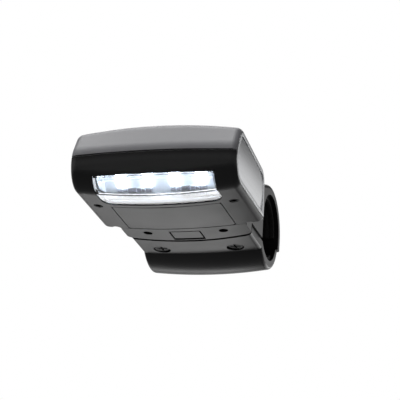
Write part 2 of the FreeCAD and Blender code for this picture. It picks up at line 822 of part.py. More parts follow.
def saddle_hollow():
    # room between the body and the bore, with a rib in the middle and a boss round each screw
    front = back_y - back_lean - overcut
    back = clamp_screw_y - nut_flats / 2 - saddle_skin
    roof = seam_z + saddle_root - 2 * saddle_skin
    slope = (saddle_radius - seam_z - saddle_root) / -front
    low = saddle_skin - front_parting
    room = prism_x([(front, low), (front, roof), (back, roof + slope * (back - front)), (back, low)],
                   clamp_half_width - saddle_skin)
    room = room.cut(bar(saddle_rib / 2, front, back, low, above_all))
    for side in (-1, 1):
        start = Vec(side * saddle_screw_x, front, saddle_screw_z)
        room = room.cut(Part.makeCylinder(post_radius, back - front, start, along_y))
        room = room.cut(rod_z(post_radius, side * rear_screw_x, rear_screw_y, low, above_all))
    return room


def make_handle_saddle():
    block = Part.Face(saddle_outline()).extrude(Vec(2 * clamp_half_width, 0, 0))
    block.translate(Vec(-clamp_half_width, 0, 0))
    block = block.makeFillet(clamp_edge, outer_end_edges(block, clamp_half_width, saddle_radius))
    knuckles, gap = saddle_knuckles()
    saddle = fuse([block, knuckles]).cut(gap)
    saddle = saddle.cut(rod_x(hinge_pin_radius, -knuckle_end, knuckle_end, hinge_y, hinge_z))
    saddle = saddle.cut(body_solid(-seat_gap, shell_reach)).cut(saddle_hollow())
    for side in (-1, 1):
        pocket = nut_solid(side, nut_flats + seat_gap, -front_parting, nut_height + seat_gap - front_parting)
        saddle = saddle.cut(pocket)
        tip = clamp_thread_reach + fit_gap - front_parting
        saddle = saddle.cut(rod_z(clamp_shank_radius + swing_gap, side * clamp_screw_x, clamp_screw_y,
                                  -front_parting, tip))
        saddle = saddle.cut(rod_z(screw_pilot_radius, side * rear_screw_x, rear_screw_y, -front_parting,
                                  rear_seat_z + rear_screw_length + seat_gap))
        saddle = saddle.cut(saddle_screw_hole(side))
    return saddle


def make_clamp_nuts():
    nuts = []
    for side in (-1, 1):
        nut = nut_solid(side, nut_flats, -front_parting, nut_height - front_parting)
        nuts.append(nut.cut(rod_z(clamp_shank_radius + swing_gap, side * clamp_screw_x, clamp_screw_y,
                                  -front_parting, nut_height)))
    return Part.makeCompound(nuts)


def pad_ring(start_angle, end_angle):
    # part of a ring round the bore's axis; angles are degrees about X, from +Y towards +Z
    corners = [Vec(-pad_half_length, tube_radius, 0), Vec(pad_half_length, tube_radius, 0),
               Vec(pad_half_length, bore_radius, 0), Vec(-pad_half_length, bore_radius, 0)]
    section = Part.Face(Part.makePolygon(corners + corners[:1]))
    section.rotate(Vec(0, 0, 0), along_x, start_angle)
    return section.revolve(Vec(0, 0, 0), along_x, end_angle - start_angle)


def make_saddle_pad():
    return pad_ring(0, half_turn)


def make_jaw_pad():
    front = half_turn + math.degrees(math.asin(-jaw_top / bore_radius)) + pad_edge
    back = 2 * half_turn + math.degrees(math.asin(jaw_hinge_top / bore_radius)) - pad_edge
    return pad_ring(front, back)


def jaw_barrel():
    # round jaw body, fatter in the middle
    end_radius = jaw_radius - jaw_crown
    left = Vec(-jaw_half_width, 0, 0)
    right = Vec(jaw_half_width, 0, 0)
    left_top = Vec(-jaw_half_width, 0, end_radius)
    right_top = Vec(jaw_half_width, 0, end_radius)
    edges = [
        Part.LineSegment(left, left_top).toShape(),
        Part.Arc(left_top, Vec(0, 0, jaw_radius), right_top).toShape(),
        Part.LineSegment(right_top, right).toShape(),
        Part.LineSegment(right, left).toShape(),
    ]
    barrel = Part.Face(Part.Wire(edges)).revolve(Vec(0, 0, 0), along_x, 2 * half_turn)
    rims = [edge for edge in barrel.Edges if abs(abs(edge.CenterOfMass.x) - jaw_half_width) < seat_gap]
    return barrel.makeFillet(jaw_edge, rims)


def make_clamp_jaw():
    barrel = jaw_barrel().cut(bar(clamp_half_width, -behind_all, behind_all, jaw_hinge_top, behind_all))
    flange = crowned_slab(jaw_half_width, tongue_front, 0, jaw_top, belly_at)
    sides = [edge for edge in flange.Edges
             if edge.CenterOfMass.z < jaw_top - seat_gap and edge.BoundBox.YLength > flange_length]
    flange = flange.makeFillet(jaw_edge, sides)
    flange = flange.cut(tongue_plan(tongue_front - overcut, jaw_front_gap))
    knuckle = rod_x(knuckle_radius, -jaw_knuckle_half, jaw_knuckle_half, hinge_y, hinge_z)
    arm = [(bore_radius - overcut, jaw_hinge_top), (hinge_y, jaw_hinge_top),
           (hinge_y, hinge_z - knuckle_radius), (bore_radius, -bore_radius + overcut),
           (bore_radius - overcut, -bore_radius + overcut)]
    jaw = fuse([barrel, flange, knuckle, prism_x(arm, jaw_knuckle_half)])
    jaw = jaw.cut(bar(clamp_half_width, -behind_all, 0, jaw_top, behind_all))
    jaw = jaw.cut(rod_x(bore_radius, -clamp_half_width, clamp_half_width, 0, 0))
    jaw = jaw.cut(rod_x(hinge_pin_radius + pin_gap, -knuckle_end, knuckle_end, hinge_y, hinge_z))
    for side in (-1, 1):
        low, high = sorted((side * jaw_knuckle_half, side * (knuckle_end + fit_gap)))
        jaw = jaw.cut(rod_x(knuckle_radius + 2 * fit_gap, low, high, hinge_y, hinge_z))
        x = side * clamp_screw_x
        seat = belly_at(x) + clamp_recess_depth
        jaw = jaw.cut(rod_z(clamp_recess_radius, x, clamp_screw_y, below_all - jaw_radius, seat))
        jaw = jaw.cut(rod_z(clamp_shank_radius + fit_gap, x, clamp_screw_y, seat, jaw_top))
    return jaw


def make_clamp_screw(side):
    x = side * clamp_screw_x
    seat = belly_at(x) + clamp_recess_depth - seat_gap
    length = clamp_thread_reach - front_parting - seat
    screw = screw_up(x, clamp_screw_y, seat, clamp_head_radius, clamp_head_height, clamp_shank_radius, length)
    low = seat - clamp_head_height
    arm = clamp_head_radius - driver_slot
    for half_x, half_y in ((arm, driver_slot / 2), (driver_slot / 2, arm)):
        screw = screw.cut(box(x - half_x, x + half_x, clamp_screw_y - half_y, clamp_screw_y + half_y,
                              low, low + driver_depth))
    return screw


def make_housing_screws():
    screws = []
    for side in (-1, 1):
        screws.append(screw_up(side * front_screw_x, front_screw_y, front_seat_z, screw_head_radius,
                               screw_head_height, screw_shank_radius, front_screw_length))
        screws.append(screw_up(side * rear_screw_x, rear_screw_y, rear_seat_z, screw_head_radius,
                               screw_head_height, screw_shank_radius, rear_screw_length))
    return Part.makeCompound(screws)


def make_control_board():
    board = bar(control_half_width, control_front, control_back, control_z, control_z + board_thickness)
    for side in (-1, 1):
        for y in control_rows():
            board = board.cut(rod_z(screw_pilot_radius, side * control_screw_x, y, control_z - overcut,
                                    control_z + board_thickness + overcut))
    return board


def make_board_screws():
    screws = []
    top = control_z + board_thickness
    for side in (-1, 1):
        for y in control_rows():
            head = rod_z(control_head_radius, side * control_screw_x, y, top, top + control_head_height)
            shank = rod_z(screw_shank_radius, side * control_screw_x, y, top - control_screw_length, top)
            screws.append(head.fuse(shank).removeSplitter())
    return Part.makeCompound(screws)


def make_tact_switch():
    base = control_z + board_thickness
    body = box(-tact_half, tact_half, button_y - tact_half, button_y + tact_half, base, base + tact_height)
    plunger = rod_z(tact_plunger_radius, 0, button_y, base + tact_height, base + tact_height + tact_plunger)
    return body.fuse(plunger).removeSplitter()


def make_tilt_sensor():
    base = control_z + board_thickness
    can = rod_x(tilt_radius, tilt_x - tilt_length / 2, tilt_x + tilt_length / 2, tilt_y, base + tilt_radius)
    foot = box(tilt_x - tilt_length / 2, tilt_x + tilt_length / 2, tilt_y - tilt_radius / 2,
               tilt_y + tilt_radius / 2, base, base + tilt_radius)
    return can.fuse(foot).removeSplitter()


def make_hinge_pin():
    return rod_x(hinge_pin_radius, -knuckle_end, knuckle_end, hinge_y, hinge_z)


pieces = {
    "upper_housing": make_upper_housing(),
    "lower_housing": make_lower_housing(),
    "left_end_cap": make_end_cap(-1),
    "right_end_cap": make_end_cap(1),
    "left_end_panel": make_end_panel(-1),
    "right_end_panel": make_end_panel(1),
    "front_lens": make_front_lens(),
    "lens_gasket": make_lens_gasket(),
    "reflector": make_reflector(),
    "led_board": make_led_board(),
    "leds": make_leds(),
    "battery_contacts": make_battery_contacts(),
    "battery_springs": make_battery_springs(),
    "battery_door": make_battery_door(),
    "battery_latch": make_battery_latch(),
    "control_board": make_control_board(),
    "board_screws": make_board_screws(),
    "tact_switch": make_tact_switch(),
    "tilt_sensor": make_tilt_sensor(),
    "power_button": make_power_button(),
    "housing_screws": make_housing_screws(),
    "handle_saddle": make_handle_saddle(),
    "saddle_pad": make_saddle_pad(),
    "saddle_screws": make_saddle_screws(),
    "clamp_nuts": make_clamp_nuts(),
    "hinge_pin": make_hinge_pin(),
    "clamp_jaw": make_clamp_jaw(),
    "jaw_pad": make_jaw_pad(),
    "clamp_screw_left": make_clamp_screw(-1),
    "clamp_screw_right": make_clamp_screw(1),
}
for i in range(cell_count):
    pieces["battery_cell_" + str(i + 1)] = make_cell(i)

for name, shape in pieces.items():
    print(name, "solids", len(shape.Solids), "valid", shape.isValid(), "volume", round(shape.Volume, 1))
    shape.exportStep("parts/" + name + ".step")
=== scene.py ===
import bpy
import bmesh
import math
from mathutils import Matrix, Vector


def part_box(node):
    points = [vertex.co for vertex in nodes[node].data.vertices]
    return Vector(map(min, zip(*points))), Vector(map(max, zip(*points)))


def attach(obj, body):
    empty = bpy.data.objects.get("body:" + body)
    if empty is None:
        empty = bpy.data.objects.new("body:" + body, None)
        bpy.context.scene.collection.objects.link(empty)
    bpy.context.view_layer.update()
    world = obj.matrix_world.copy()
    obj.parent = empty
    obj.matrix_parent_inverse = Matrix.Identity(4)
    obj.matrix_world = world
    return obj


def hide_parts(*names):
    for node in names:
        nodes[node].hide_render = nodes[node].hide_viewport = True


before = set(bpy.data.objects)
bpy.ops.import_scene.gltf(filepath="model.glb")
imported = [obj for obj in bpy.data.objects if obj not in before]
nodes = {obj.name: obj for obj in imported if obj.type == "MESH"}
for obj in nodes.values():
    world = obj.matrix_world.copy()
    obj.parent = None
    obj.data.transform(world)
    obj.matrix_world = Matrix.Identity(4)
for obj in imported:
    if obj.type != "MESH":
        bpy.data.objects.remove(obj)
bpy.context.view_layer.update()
mm = 0.001
weld = 0.001 * mm  # points closer than this become one


def hexColour(code):  # sRGB hex to linear RGBA
    parts = [int(code[i:i + 2], 16) / 255 for i in (1, 3, 5)]
    linear = [p / 12.92 if p <= 0.04045 else ((p + 0.055) / 1.055) ** 2.4 for p in parts]
    return (*linear, 1.0)


def addNode(owner, kind, settings=None, inputs=None, links=None):  # owner is a material or the world
    node = owner.node_tree.nodes.new(kind)
    for key, value in (settings or {}).items():
        setattr(node, key, value)
    for key, value in (inputs or {}).items():
        node.inputs[key].default_value = value
    for key, (source, output) in (links or {}).items():
        owner.node_tree.links.new(source.outputs[output], node.inputs[key])
    return node


def freshMaterial(name):
    material = bpy.data.materials.new(name)
    material.use_nodes = True
    material.node_tree.nodes.clear()
    return material


def setRamp(ramp, stops, codes):  # two places, and the hex colour at each
    for element, position, code in zip(ramp.color_ramp.elements, stops, codes):
        element.position = position
        element.color = hexColour(code)


def dress(material, *names):
    for name in names:
        node = nodes[name]
        node.data.materials.clear()
        node.data.materials.append(material)


def makePiece(shape, name, materials, body, standsFor=(), sharpAngle=35):
    mesh = bpy.data.meshes.new(name)
    shape.to_mesh(mesh)
    shape.free()
    for material in materials:
        mesh.materials.append(material)
    mesh.shade_smooth()
    mesh.set_sharp_from_angle(angle=math.radians(sharpAngle))
    piece = bpy.data.objects.new(name, mesh)
    bpy.context.scene.collection.objects.link(piece)
    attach(piece, body)
    if standsFor:
        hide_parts(*standsFor)


def mergedCopy(node):  # a CAD node's mesh is loose triangles
    shape = bmesh.new()
    shape.from_mesh(nodes[node].data)
    bmesh.ops.remove_doubles(shape, verts=shape.verts, dist=weld)
    return shape


def pick(items, kind):  # the vertices or the edges among what an operator made
    return [item for item in items if isinstance(item, kind)]


print("frame loaded,", len(nodes), "nodes")

# Moulded ABS: the spark-eroded mould leaves a fine even grain that breaks up every highlight.
# The grain is drawn coarser than the real 0.1 mm so that it shows in the render.
grayAbs = {"name": "grayMouldedAbs", "light": "#89898d", "dark": "#848488", "rough": (0.43, 0.51),
           "specular": 0.4, "grainMm": 0.42, "grainDepthMm": 0.012, "edgeMm": 0.4}
blackAbs = {"name": "blackMouldedAbs", "light": "#171718", "dark": "#121213", "rough": (0.28, 0.36),
            "specular": 0.24, "grainMm": 0.50, "grainDepthMm": 0.014, "edgeMm": 0.2}
absMould = {"flowMm": 14, "flowStops": (0.35, 0.65), "bump": 0.5, "edgeSamples": 4}  # alike in both colours


def mouldedAbs(look):
    material = freshMaterial(look["name"])
    place = addNode(material, "ShaderNodeTexCoord")
    grain = addNode(material, "ShaderNodeTexNoise", {}, {"Scale": 1 / (look["grainMm"] * mm), "Detail": 3.0},
                    {"Vector": (place, "Object")})
    flow = addNode(material, "ShaderNodeTexNoise", {},
                   {"Scale": 1 / (absMould["flowMm"] * mm), "Detail": 2.0},
                   {"Vector": (place, "Object")})  # faint flow marks
    tint = addNode(material, "ShaderNodeValToRGB", {}, {}, {"Fac": (flow, "Fac")})
    setRamp(tint, absMould["flowStops"], (look["dark"], look["light"]))
    polish = addNode(material, "ShaderNodeMapRange", {},
                     {"To Min": look["rough"][0], "To Max": look["rough"][1]}, {"Value": (flow, "Fac")})
    edge = addNode(material, "ShaderNodeBevel", {"samples": absMould["edgeSamples"]},
                   {"Radius": look["edgeMm"] * mm})  # softens the edges of the solids
    bump = addNode(material, "ShaderNodeBump", {},
                   {"Strength": absMould["bump"], "Distance": look["grainDepthMm"] * mm},
                   {"Height": (grain, "Fac"), "Normal": (edge, "Normal")})
    shader = addNode(material, "ShaderNodeBsdfPrincipled", {}, {"Specular IOR Level": look["specular"]},
                     {"Base Color": (tint, "Color"), "Roughness": (polish, "Result"),
                      "Normal": (bump, "Normal")})
    addNode(material, "ShaderNodeOutputMaterial", {}, {}, {"Surface": (shader, "BSDF")})
    return material


grayShell = mouldedAbs(grayAbs)
blackShell = mouldedAbs(blackAbs)
dress(grayShell, "upper_housing", "power_button")
dress(blackShell, "lower_housing", "battery_door", "battery_latch", "handle_saddle", "clamp_jaw",
      "tact_switch")

# Silver lacquer on ABS: aluminium flake gives a soft metal sheen, mottled very finely
silverLook = {"light": "#d8d9db", "dark": "#cfd0d2", "metal": 0.85, "rough": 0.26, "flakeMm": 0.35,
              "flakeStops": (0.35, 0.65), "capEdgeMm": 0.5, "edgeSamples": 4}


def silverLacquer(name, edgeMm=0):
    material = freshMaterial(name)
    place = addNode(material, "ShaderNodeTexCoord")
    flake = addNode(material, "ShaderNodeTexNoise", {}, {"Scale": 1 / (silverLook["flakeMm"] * mm)},
                    {"Vector": (place, "Object")})
    tint = addNode(material, "ShaderNodeValToRGB", {}, {}, {"Fac": (flake, "Fac")})
    setRamp(tint, silverLook["flakeStops"], (silverLook["dark"], silverLook["light"]))
    shader = addNode(material, "ShaderNodeBsdfPrincipled", {},
                     {"Metallic": silverLook["metal"], "Roughness": silverLook["rough"]},
                     {"Base Color": (tint, "Color")})
    if edgeMm:  # softens the edges of the solid
        edge = addNode(material, "ShaderNodeBevel", {"samples": silverLook["edgeSamples"]},
                       {"Radius": edgeMm * mm})
        material.node_tree.links.new(edge.outputs["Normal"], shader.inputs["Normal"])
    addNode(material, "ShaderNodeOutputMaterial", {}, {}, {"Surface": (shader, "BSDF")})
    return material


capLacquer = silverLacquer("silverLacqueredCap", silverLook["capEdgeMm"])
panelLacquer = silverLacquer("silverLacqueredPanel")
dress(capLacquer, "left_end_cap", "right_end_cap")
dress(panelLacquer, "left_end_panel", "right_end_panel")

# Polycarbonate from a polished mould: clear, with sharp reflections and a faint flow ripple
lensLook = {"base": "#f6faff", "rough": 0.02, "ior": 1.586, "rippleMm": 9.0, "rippleDepthMm": 0.02,
            "bump": 0.3}
clearPolycarbonate = freshMaterial("clearPolycarbonate")
place = addNode(clearPolycarbonate, "ShaderNodeTexCoord")
ripple = addNode(clearPolycarbonate, "ShaderNodeTexNoise", {}, {"Scale": 1 / (lensLook["rippleMm"] * mm)},
                 {"Vector": (place, "Object")})
bump = addNode(clearPolycarbonate, "ShaderNodeBump", {},
               {"Strength": lensLook["bump"], "Distance": lensLook["rippleDepthMm"] * mm},
               {"Height": (ripple, "Fac")})
shader = addNode(clearPolycarbonate, "ShaderNodeBsdfPrincipled", {},
                 {"Base Color": hexColour(lensLook["base"]), "Roughness": lensLook["rough"],
                  "IOR": lensLook["ior"], "Transmission Weight": 1.0}, {"Normal": (bump, "Normal")})
addNode(clearPolycarbonate, "ShaderNodeOutputMaterial", {}, {}, {"Surface": (shader, "BSDF")})
dress(clearPolycarbonate, "front_lens")

# Vacuum-metallised ABS over a satin moulding: a soft mirror that spreads the light of the LEDs
trayLook = {"base": "#f4f6f8", "metal": 0.3, "rough": 0.3, "rippleMm": 5.0, "rippleDepthMm": 0.06,
            "bump": 0.4, "rimGlow": 0.7}


def metallisedAbs(name, glow=0):
    material = freshMaterial(name)
    place = addNode(material, "ShaderNodeTexCoord")
    ripple = addNode(material, "ShaderNodeTexNoise", {},
                     {"Scale": 1 / (trayLook["rippleMm"] * mm), "Detail": 1.0}, {"Vector": (place, "Object")})
    bump = addNode(material, "ShaderNodeBump", {},
                   {"Strength": trayLook["bump"], "Distance": trayLook["rippleDepthMm"] * mm},
                   {"Height": (ripple, "Fac")})
    shader = addNode(material, "ShaderNodeBsdfPrincipled", {},
                     {"Base Color": hexColour(trayLook["base"]), "Metallic": trayLook["metal"],
                      "Roughness": trayLook["rough"], "Emission Color": hexColour(trayLook["base"]),
                      "Emission Strength": glow}, {"Normal": (bump, "Normal")})
    addNode(material, "ShaderNodeOutputMaterial", {}, {}, {"Surface": (shader, "BSDF")})
    return material


mirrorTray = metallisedAbs("vacuumMetallisedAbs")
litRim = metallisedAbs("litTrayRim", trayLook["rimGlow"])  # stands for light that leaks along the lens's edge
dress(mirrorTray, "reflector")

# The tray's back wall, which carries the LEDs: its middle, its way up and the way it faces
trayWall = {"middleMm": (0, -95.5, -7.8), "up": (0, -0.542, 0.840), "facing": (0, -0.840, -0.542)}

# Clear epoxy LEDs, lit cool white: the light is strongest at the tip of each dome
ledLook = {"base": "#eef5ff", "glow": "#eaf3ff", "rough": 0.1, "rim": 9.0, "tip": 26.0, "lengthMm": 4.7}
litEpoxy = freshMaterial("litEpoxyLed")
place = addNode(litEpoxy, "ShaderNodeTexCoord")
along = addNode(litEpoxy, "ShaderNodeVectorMath", {"operation": "DOT_PRODUCT"}, {1: trayWall["facing"]},
                {0: (place, "Object")})
ledStart = Vector(trayWall["facing"]).dot(Vector(trayWall["middleMm"]) * mm)
glow = addNode(litEpoxy, "ShaderNodeMapRange", {},
               {"From Min": ledStart, "From Max": ledStart + ledLook["lengthMm"] * mm,
                "To Min": ledLook["rim"], "To Max": ledLook["tip"]}, {"Value": (along, "Value")})
shader = addNode(litEpoxy, "ShaderNodeBsdfPrincipled", {},
                 {"Base Color": hexColour(ledLook["base"]), "Roughness": ledLook["rough"],
                  "Emission Color": hexColour(ledLook["glow"])}, {"Emission Strength": (glow, "Result")})
addNode(litEpoxy, "ShaderNodeOutputMaterial", {}, {}, {"Surface": (shader, "BSDF")})
dress(litEpoxy, "leds")

# Moulded rubber: dull and slightly dusty, with a fine matt skin
rubberLook = {"light": "#1b1b1b", "dark": "#121212", "rough": 0.78, "specular": 0.35, "skinMm": 0.6,
              "skinStops": (0.4, 0.7), "skinDepthMm": 0.03, "bump": 0.6}
mouldedRubber = freshMaterial("mouldedRubber")
place = addNode(mouldedRubber, "ShaderNodeTexCoord")
skin = addNode(mouldedRubber, "ShaderNodeTexNoise", {},
               {"Scale": 1 / (rubberLook["skinMm"] * mm), "Detail": 3.0}, {"Vector": (place, "Object")})
tint = addNode(mouldedRubber, "ShaderNodeValToRGB", {}, {}, {"Fac": (skin, "Fac")})
setRamp(tint, rubberLook["skinStops"], (rubberLook["dark"], rubberLook["light"]))
bump = addNode(mouldedRubber, "ShaderNodeBump", {},
               {"Strength": rubberLook["bump"], "Distance": rubberLook["skinDepthMm"] * mm},
               {"Height": (skin, "Fac")})
shader = addNode(mouldedRubber, "ShaderNodeBsdfPrincipled", {},
                 {"Roughness": rubberLook["rough"], "Specular IOR Level": rubberLook["specular"]},
                 {"Base Color": (tint, "Color"), "Normal": (bump, "Normal")})
addNode(mouldedRubber, "ShaderNodeOutputMaterial", {}, {}, {"Surface": (shader, "BSDF")})
dress(mouldedRubber, "saddle_pad", "jaw_pad", "lens_gasket")

# Steel fasteners: nickel plate has a soft metal gloss, black oxide is dark with an oily sheen
nickelLook = {"name": "nickelPlatedSteel", "base": "#b4b2ad", "metal": 1.0, "rough": (0.22, 0.42)}
oxideLook = {"name": "blackOxideSteel", "base": "#0c0c0d", "metal": 0.5, "rough": (0.40, 0.60)}
scratchMm = 0.6  # handling marks on both


def fastenerSteel(look):
    material = freshMaterial(look["name"])
    place = addNode(material, "ShaderNodeTexCoord")
    scratch = addNode(material, "ShaderNodeTexNoise", {}, {"Scale": 1 / (scratchMm * mm), "Detail": 4.0},
                      {"Vector": (place, "Object")})
    polish = addNode(material, "ShaderNodeMapRange", {},
                     {"To Min": look["rough"][0], "To Max": look["rough"][1]}, {"Value": (scratch, "Fac")})
    shader = addNode(material, "ShaderNodeBsdfPrincipled", {},
                     {"Base Color": hexColour(look["base"]), "Metallic": look["metal"]},
                     {"Roughness": (polish, "Result")})
    addNode(material, "ShaderNodeOutputMaterial", {}, {}, {"Surface": (shader, "BSDF")})
    return material


nickelSteel = fastenerSteel(nickelLook)
oxideSteel = fastenerSteel(oxideLook)
dress(nickelSteel, "battery_springs", "battery_contacts", "board_screws", "saddle_screws", "clamp_nuts",
      "hinge_pin", "tilt_sensor")
dress(oxideSteel, "housing_screws", "clamp_screw_left", "clamp_screw_right")

# Glass-fibre board: copper tracks show as lighter cells under green solder mask
boardLook = {"mask": "#14502c", "copper": "#1d6a3b", "trackMm": 2.4, "trackStops": (0.3, 0.45), "rough": 0.35}
solderMask = freshMaterial("solderMaskBoard")
place = addNode(solderMask, "ShaderNodeTexCoord")
tracks = addNode(solderMask, "ShaderNodeTexVoronoi", {"distance": "MANHATTAN"},
                 {"Scale": 1 / (boardLook["trackMm"] * mm)}, {"Vector": (place, "Object")})
tint = addNode(solderMask, "ShaderNodeValToRGB", {}, {}, {"Fac": (tracks, "Distance")})
setRamp(tint, boardLook["trackStops"], (boardLook["copper"], boardLook["mask"]))
shader = addNode(solderMask, "ShaderNodeBsdfPrincipled", {}, {"Roughness": boardLook["rough"]},
                 {"Base Color": (tint, "Color")})
addNode(solderMask, "ShaderNodeOutputMaterial", {}, {}, {"Surface": (shader, "BSDF")})
dress(solderMask, "led_board", "control_board")

# White solder mask and gray moulded epoxy: pale, faintly mottled parts below the LEDs
maskLook = {"name": "whiteSolderMask", "light": "#e6e9ee", "dark": "#d3d8e0", "rough": 0.4}
epoxyLook = {"name": "grayMouldedEpoxy", "light": "#b6b4c0", "dark": "#98969f", "rough": 0.5}
mottle = {"speckMm": 0.8, "stops": (0.4, 0.6)}  # alike in both


def speckled(look):
    material = freshMaterial(look["name"])
    place = addNode(material, "ShaderNodeTexCoord")
    speck = addNode(material, "ShaderNodeTexNoise", {},
                    {"Scale": 1 / (mottle["speckMm"] * mm), "Detail": 2.0}, {"Vector": (place, "Object")})
    tint = addNode(material, "ShaderNodeValToRGB", {}, {}, {"Fac": (speck, "Fac")})
    setRamp(tint, mottle["stops"], (look["dark"], look["light"]))
    shader = addNode(material, "ShaderNodeBsdfPrincipled", {}, {"Roughness": look["rough"]},
                     {"Base Color": (tint, "Color")})
    addNode(material, "ShaderNodeOutputMaterial", {}, {}, {"Surface": (shader, "BSDF")})
    return material


whiteMask = speckled(maskLook)
grayEpoxy = speckled(epoxyLook)

# Shrink film on a steel can: glossy film with bare metal at both ends
cellLook = {"film": "#2d3a44", "band": "#c9ccce", "steel": "#b9bbbd", "rough": 0.28, "middleMm": 1.9,
            "filmHalfMm": 21.2, "bandFromMm": 15.5, "wrinkleMm": 5.0, "wrinkleDepthMm": 0.03, "bump": 0.2}


def shrinkFilmCell(name, plusSide):  # each cell lies off the middle, towards its plus end
    material = freshMaterial(name)
    place = addNode(material, "ShaderNodeTexCoord")
    axes = addNode(material, "ShaderNodeSeparateXYZ", {}, {}, {"Vector": (place, "Object")})
    offset = addNode(material, "ShaderNodeMath", {"operation": "SUBTRACT"},
                     {1: plusSide * cellLook["middleMm"] * mm}, {0: (axes, "X")})
    reach = addNode(material, "ShaderNodeMath", {"operation": "ABSOLUTE"}, {}, {0: (offset, "Value")})
    bare = addNode(material, "ShaderNodeMath", {"operation": "GREATER_THAN"},
                   {1: cellLook["filmHalfMm"] * mm}, {0: (reach, "Value")})
    towardPlus = addNode(material, "ShaderNodeMath", {"operation": "MULTIPLY"}, {1: plusSide},
                         {0: (offset, "Value")})
    band = addNode(material, "ShaderNodeMath", {"operation": "GREATER_THAN"},
                   {1: cellLook["bandFromMm"] * mm}, {0: (towardPlus, "Value")})  # pale, at the plus end
    film = addNode(material, "ShaderNodeValToRGB", {}, {}, {"Fac": (band, "Value")})
    setRamp(film, (0, 1), (cellLook["film"], cellLook["band"]))
    skin = addNode(material, "ShaderNodeMix", {"data_type": "RGBA"}, {7: hexColour(cellLook["steel"])},
                   {0: (bare, "Value"), 6: (film, "Color")})
    wrinkle = addNode(material, "ShaderNodeTexNoise", {}, {"Scale": 1 / (cellLook["wrinkleMm"] * mm)},
                      {"Vector": (place, "Object")})
    bump = addNode(material, "ShaderNodeBump", {},
                   {"Strength": cellLook["bump"], "Distance": cellLook["wrinkleDepthMm"] * mm},
                   {"Height": (wrinkle, "Fac")})
    shader = addNode(material, "ShaderNodeBsdfPrincipled", {}, {"Roughness": cellLook["rough"]},
                     {"Base Color": (skin, 2), "Metallic": (bare, "Value"), "Normal": (bump, "Normal")})
    addNode(material, "ShaderNodeOutputMaterial", {}, {}, {"Surface": (shader, "BSDF")})
    return material


dress(shrinkFilmCell("shrinkFilmCellLeft", -1), "battery_cell_1", "battery_cell_3")
dress(shrinkFilmCell("shrinkFilmCellRight", 1), "battery_cell_2")
print("materials done")

# End panels: the flat solid gets a low crown, so that its sheen runs from top to bottom.
# The rise is from the corners of the panel's box to its middle. Facing and level pick the outer face.
panelLook = {"rise": 1.6 * mm, "cell": 3.0 * mm, "flatDegrees": 1, "sharpDegrees": 8, "facing": 0.99,
             "level": 0.1 * mm}


def crownPanel(side, node, name):
    low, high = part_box(node)
    shape = mergedCopy(node)
    bmesh.ops.dissolve_limit(shape, angle_limit=math.radians(panelLook["flatDegrees"]), verts=shape.verts,
                             edges=shape.edges)
    outer = max(shape.faces, key=lambda face: face.normal.x * side * face.calc_area())
    outerX = outer.calc_center_median().x
    for axis in (1, 2):
        steps = int((high[axis] - low[axis]) / panelLook["cell"])
        for step in range(1, steps + 1):
            cut = low.copy()
            cut[axis] += (high[axis] - low[axis]) * step / (steps + 1)
            outside = [face for face in shape.faces if face.normal.x * side > panelLook["facing"]
                       and abs(face.calc_center_median().x - outerX) < panelLook["level"]]
            edges = {edge for face in outside for edge in face.edges}
            corners = {vert for face in outside for vert in face.verts}
            bmesh.ops.bisect_plane(shape, geom=[*outside, *edges, *corners], dist=weld, plane_co=cut,
                                   plane_no=[1 if axis == i else 0 for i in range(3)])
    middle = (low + high) / 2
    half = (high - low) / 2
    backX = middle.x - side * half.x
    for vert in shape.verts:  # the back stays in its place
        out = ((vert.co.y - middle.y) / half.y) ** 2 + ((vert.co.z - middle.z) / half.z) ** 2
        share = (vert.co.x - backX) / (outerX - backX)
        vert.co.x += side * panelLook["rise"] * (1 - out) / 2 * share
    makePiece(shape, name, [panelLacquer], "lamp_head", [node], panelLook["sharpDegrees"])


crownPanel(-1, "left_end_panel", "leftPanelCrown")
crownPanel(1, "right_end_panel", "rightPanelCrown")
print("end panels done")

# Housing screws with deep hexagon sockets, seen in the holes of the underside
screwLook = {"head": 2.1 * mm, "height": 1.8 * mm, "chamfer": 0.2 * mm, "shank": 1.2 * mm, "ring": 1.8 * mm,
             "socket": 1.7 * mm, "depth": 1.5 * mm, "turns": 24, "near": 0.01 * mm}
screwPairs = ({"atMm": (35.6, -86.89, -16.8), "length": 16.0 * mm},  # front
              {"atMm": (20.4, -48.01, -4.8), "length": 10.0 * mm})  # rear


def addScrew(shape, at, length):  # head down, shank up
    head, chamfer, height = screwLook["head"], screwLook["chamfer"], screwLook["height"]
    ring, shank, near = screwLook["ring"], screwLook["shank"], screwLook["near"]
    profile = [(ring, 0), (head - chamfer, 0), (head, chamfer), (head, height), (shank, height),
               (shank, height + length - shank), (0, height + length)]
    line = [shape.verts.new(at + Vector((radius, 0, up))) for radius, up in profile]
    runs = [shape.edges.new(pair) for pair in zip(line, line[1:])]
    bmesh.ops.spin(shape, geom=line + runs, cent=at, axis=(0, 0, 1), angle=2 * math.pi,
                   steps=screwLook["turns"], use_merge=True)
    hexagon = bmesh.ops.create_circle(shape, segments=6, radius=screwLook["socket"],
                                      matrix=Matrix.Translation(at))["verts"]
    mouth = list({edge for vert in hexagon for edge in vert.link_edges})
    rim = [edge for edge in shape.edges if edge.is_boundary
           and all(abs((vert.co - at).xy.length - ring) < near and abs(vert.co.z - at.z) < near
                   for vert in edge.verts)]
    bmesh.ops.bridge_loops(shape, edges=rim + mouth)
    walls = bmesh.ops.extrude_edge_only(shape, edges=mouth)["geom"]
    bmesh.ops.translate(shape, verts=pick(walls, bmesh.types.BMVert), vec=(0, 0, screwLook["depth"]))
    bmesh.ops.holes_fill(shape, edges=pick(walls, bmesh.types.BMEdge), sides=0)


